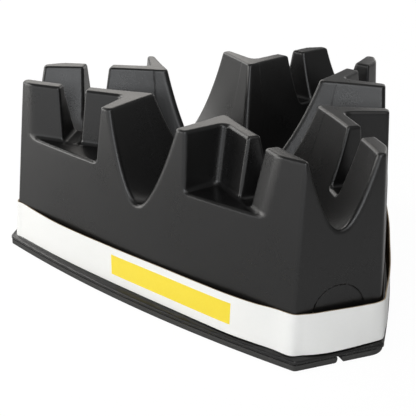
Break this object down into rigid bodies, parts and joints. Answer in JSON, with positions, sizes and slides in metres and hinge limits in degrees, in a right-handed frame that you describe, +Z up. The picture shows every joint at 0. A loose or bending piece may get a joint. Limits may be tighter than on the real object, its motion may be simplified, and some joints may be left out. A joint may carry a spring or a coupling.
{
  "type": "bike trainer front riser block",
  "caption": "Hollow moulded block with crossing wheel channels at different heights, rubber foot strips and a cardboard sleeve; it holds and levels a bicycle's front wheel.",
  "frame": {"origin": "on the ground, under the middle of the block's bounding box", "axes": "+Z up; +X along the long side that the picture shows in front, which faces -Y; +Y towards the opposite cut corner"},
  "size_m": [0.4028, 0.3598, 0.16],
  "materials": {
    "block_plastic": "fine moulded grain",
    "foot_rubber": "matte",
    "sleeve_board": "white coated outside, brown inside"
  },
  "bodies": {
    "block": {"block_body": "block_plastic", "foot_strip_front": "foot_rubber", "foot_strip_right": "foot_rubber", "foot_strip_left": "foot_rubber"},
    "sleeve": {"cardboard_sleeve": "sleeve_board"}
  },
  "joints": [
    {"name": "sleeve_lift", "type": "slide", "parent": "block", "child": "sleeve", "axis": [0, 0, 1], "range_m": [0, 0.16]}
  ]
}
